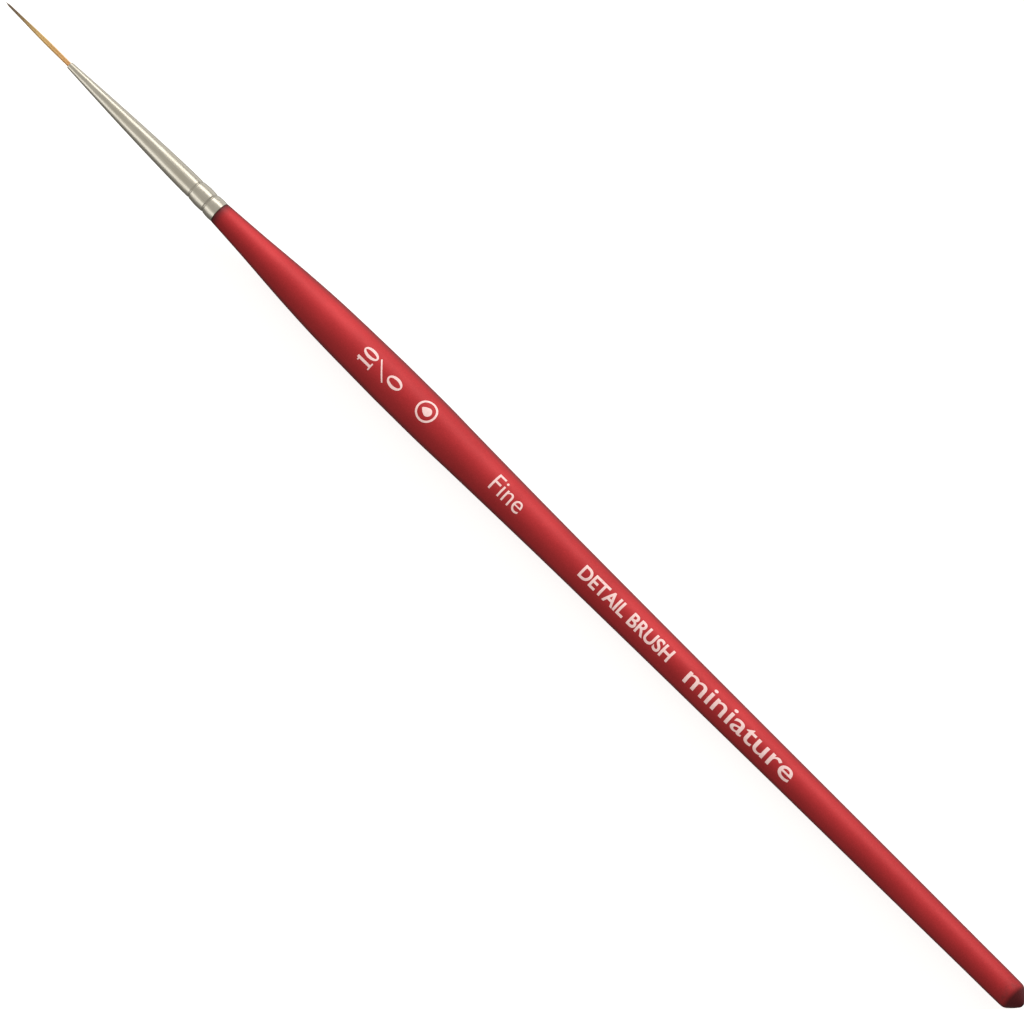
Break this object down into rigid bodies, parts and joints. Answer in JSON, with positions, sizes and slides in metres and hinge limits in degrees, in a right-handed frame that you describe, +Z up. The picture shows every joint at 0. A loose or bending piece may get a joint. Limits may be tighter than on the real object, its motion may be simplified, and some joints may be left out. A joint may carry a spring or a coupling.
{
  "type": "fine detail brush",
  "caption": "Round pointed detail brush: turned wooden handle with a red satin coat, crimped tapered metal ferrule and a fine sprung tuft of separate synthetic filaments.",
  "frame": {"origin": "Centre of the brush's length, under its axis, on the plane that the belly of the handle lies on.", "axes": "+X runs along the brush from the hair's point to the butt, +Z is up, and +Y is to the left when looking along +X."},
  "size_m": [0.19, 0.0062, 0.0062],
  "materials": {
    "red_coat": "satin dipped coat",
    "handle_wood": "bare turned wood",
    "nickel": "bright plated, drawn and rolled",
    "adhesive": "cured clear amber",
    "thread": "twisted thread",
    "filament": "golden synthetic filament, grey-brown at the tip",
    "white_print": "printed ink"
  },
  "bodies": {
    "brush": {"handle_coat": "red_coat", "handle_core": "handle_wood", "ferrule": "nickel", "tenon_adhesive": "adhesive", "root_adhesive_plug": "adhesive", "binding_thread": "thread", "hair_root_bundle": "filament"},
    "tuft": {"filament_core": "filament", "filament_inner_01": "filament", "filament_inner_02": "filament", "filament_inner_03": "filament", "filament_inner_04": "filament", "filament_inner_05": "filament", "filament_inner_06": "filament", "filament_middle_01": "filament", "filament_middle_02": "filament", "filament_middle_03": "filament", "filament_middle_04": "filament", "filament_middle_05": "filament", "filament_middle_06": "filament", "filament_middle_07": "filament", "filament_middle_08": "filament", "filament_middle_09": "filament", "filament_middle_10": "filament", "filament_middle_11": "filament", "filament_middle_12": "filament", "filament_outer_01": "filament", "filament_outer_02": "filament", "filament_outer_03": "filament", "filament_outer_04": "filament", "filament_outer_05": "filament", "filament_outer_06": "filament", "filament_outer_07": "filament", "filament_outer_08": "filament", "filament_outer_09": "filament", "filament_outer_10": "filament", "filament_outer_11": "filament", "filament_outer_12": "filament", "filament_outer_13": "filament", "filament_outer_14": "filament", "filament_outer_15": "filament", "filament_outer_16": "filament", "filament_outer_17": "filament", "filament_outer_18": "filament"}
  },
  "joints": [
    {"name": "tuft_bend", "type": "hinge", "parent": "brush", "child": "tuft", "pos_m": [-0.0832, 0, 0.00311], "axis": [0, 0, 1], "range_deg": [-60, 60], "stiffness_Nm_per_rad": 0.00007}
  ]
}
